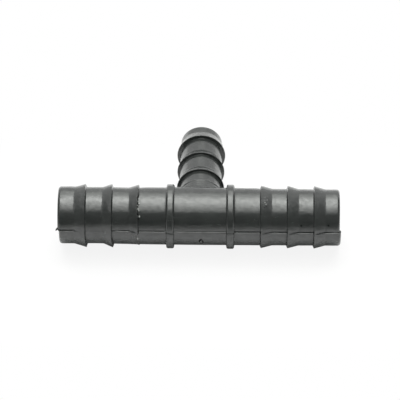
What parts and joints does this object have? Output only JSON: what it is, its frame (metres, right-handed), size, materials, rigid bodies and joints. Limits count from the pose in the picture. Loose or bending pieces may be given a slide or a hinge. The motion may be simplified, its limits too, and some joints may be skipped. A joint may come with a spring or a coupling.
{
  "type": "reducing barbed drip line tee",
  "caption": "Black moulded reducing tee for drip irrigation line: a straight run with a barbed spigot at each end and a smaller barbed branch square to it.",
  "frame": {"origin": "where the axes of the run and the branch cross", "axes": "+X along the run towards the end without the torn barb, +Y along the branch towards its mouth, +Z square to both, so the mould's parting plane is z = 0"},
  "size_m": [0.0859, 0.0503, 0.0194],
  "materials": {
    "moulding": "satin black moulding, fine flow marks and a parting line"
  },
  "bodies": {
    "root": {"tee_body": "moulding"}
  },
  "joints": []
}
